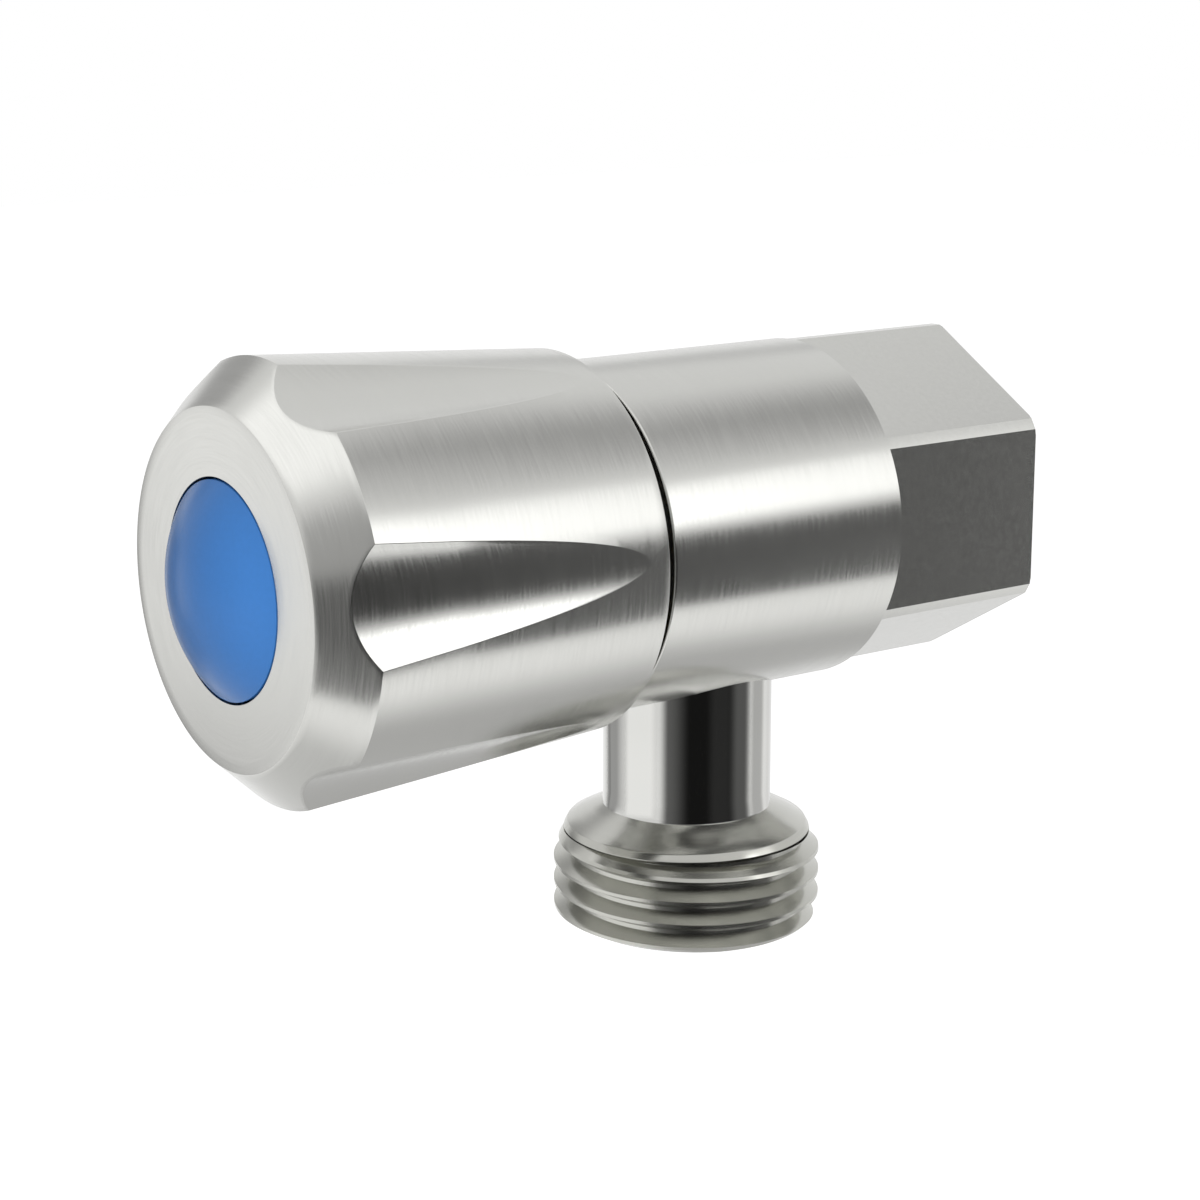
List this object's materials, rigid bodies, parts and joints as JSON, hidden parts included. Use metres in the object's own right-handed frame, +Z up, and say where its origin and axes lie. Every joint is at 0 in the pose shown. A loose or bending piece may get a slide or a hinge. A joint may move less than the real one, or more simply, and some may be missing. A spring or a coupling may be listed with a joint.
{
  "type": "cistern tap",
  "caption": "Quarter-turn stainless stop tap for a cistern feed: fluted knob with a blue index button, turned body with a hexagon and inlet thread, and a threaded outlet pointing down.",
  "frame": {"origin": "centre of the inlet's rear face, on the tap's axis", "axes": "+Y along the tap's axis out of the inlet, towards the wall or supply pipe; the knob faces -Y; +Z up, with the outlet pointing to -Z"},
  "size_m": [0.0312, 0.0685, 0.0474],
  "materials": {
    "body_steel": "turned and brushed round the axis",
    "knob_steel": "turned and brushed round the axis",
    "outlet_steel": "polished neck, satin thread",
    "blue_plastic": "satin",
    "brass": "machined",
    "disc_ceramic": "lapped",
    "rubber": "matt",
    "white_plastic": "moulded",
    "spring_steel": "plain"
  },
  "bodies": {
    "tap_body": {"valve_body": "body_steel", "outlet_nipple": "outlet_steel", "headwork_body": "brass", "headwork_o_ring": "rubber", "seat_seal": "rubber", "seal_support_ring": "white_plastic", "fixed_disc": "disc_ceramic", "spindle_thrust_washer": "white_plastic"},
    "knob": {"moving_disc": "disc_ceramic", "spindle": "brass", "spindle_o_ring_rear": "rubber", "spindle_o_ring_front": "rubber", "spindle_circlip": "spring_steel", "handle": "knob_steel", "handle_spline_insert": "white_plastic", "handle_screw": "spring_steel", "handle_screw_washer": "spring_steel", "index_button": "blue_plastic"}
  },
  "joints": [
    {"name": "knob_turn", "type": "hinge", "parent": "tap_body", "child": "knob", "pos_m": [0, -0.05, 0], "axis": [0, -1, 0], "range_deg": [0, 90]}
  ]
}
